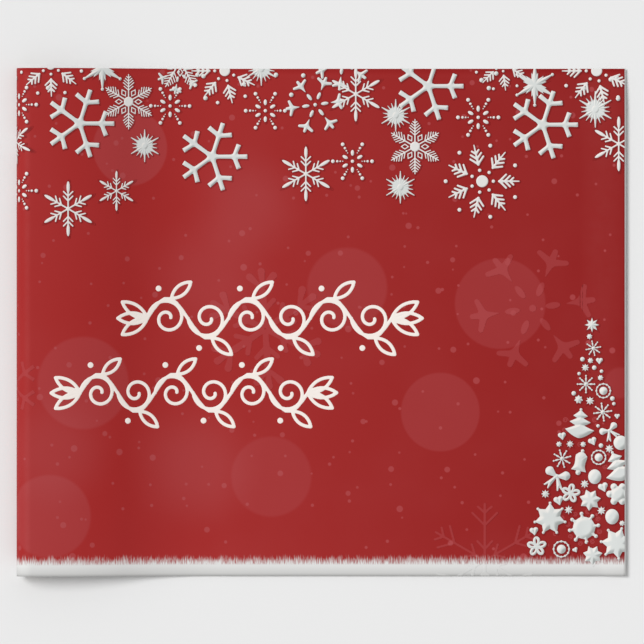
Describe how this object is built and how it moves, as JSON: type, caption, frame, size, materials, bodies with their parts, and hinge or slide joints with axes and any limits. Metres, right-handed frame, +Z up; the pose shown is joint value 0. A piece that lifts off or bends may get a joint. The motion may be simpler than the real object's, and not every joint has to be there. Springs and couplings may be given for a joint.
{
  "type": "wrapping paper roll",
  "caption": "Roll of printed gift wrapping paper on a cardboard core, lying flat with its first panel drawn off to the side.",
  "frame": {"origin": "middle of the core's bore, on its axis, half way across the width of the paper", "axes": "+Y along the core's axis, +X the way the paper is drawn off, +Z up from the surface that the roll and the sheet lie on"},
  "size_m": [0.9144, 0.762, 0.0452],
  "materials": {
    "printed_paper": "satin print on the upper side, plain white back",
    "wound_paper": "satin print outside, plain white back and cut edges",
    "kraft_board": "matt brown kraft"
  },
  "bodies": {
    "web": {"roll_wrap": "printed_paper", "sheet_ramp": "printed_paper"},
    "sheet": {"printed_sheet": "printed_paper"},
    "roll": {"wound_paper": "wound_paper"},
    "core": {"core_outer_ply": "kraft_board", "core_middle_ply": "kraft_board", "core_inner_ply": "kraft_board"}
  },
  "joints": [
    {"name": "sheet_lift", "type": "hinge", "parent": "web", "child": "sheet", "pos_m": [0.28, 0, -0.02223], "axis": [0, -1, 0], "range_deg": [0, 110]},
    {"name": "roll_turn", "type": "hinge", "parent": "web", "child": "roll", "pos_m": [0, 0, 0], "axis": [0, 1, 0], "continuous": true},
    {"name": "core_slide", "type": "slide", "parent": "roll", "child": "core", "axis": [0, 1, 0], "range_m": [-0.5, 0.5]}
  ]
}
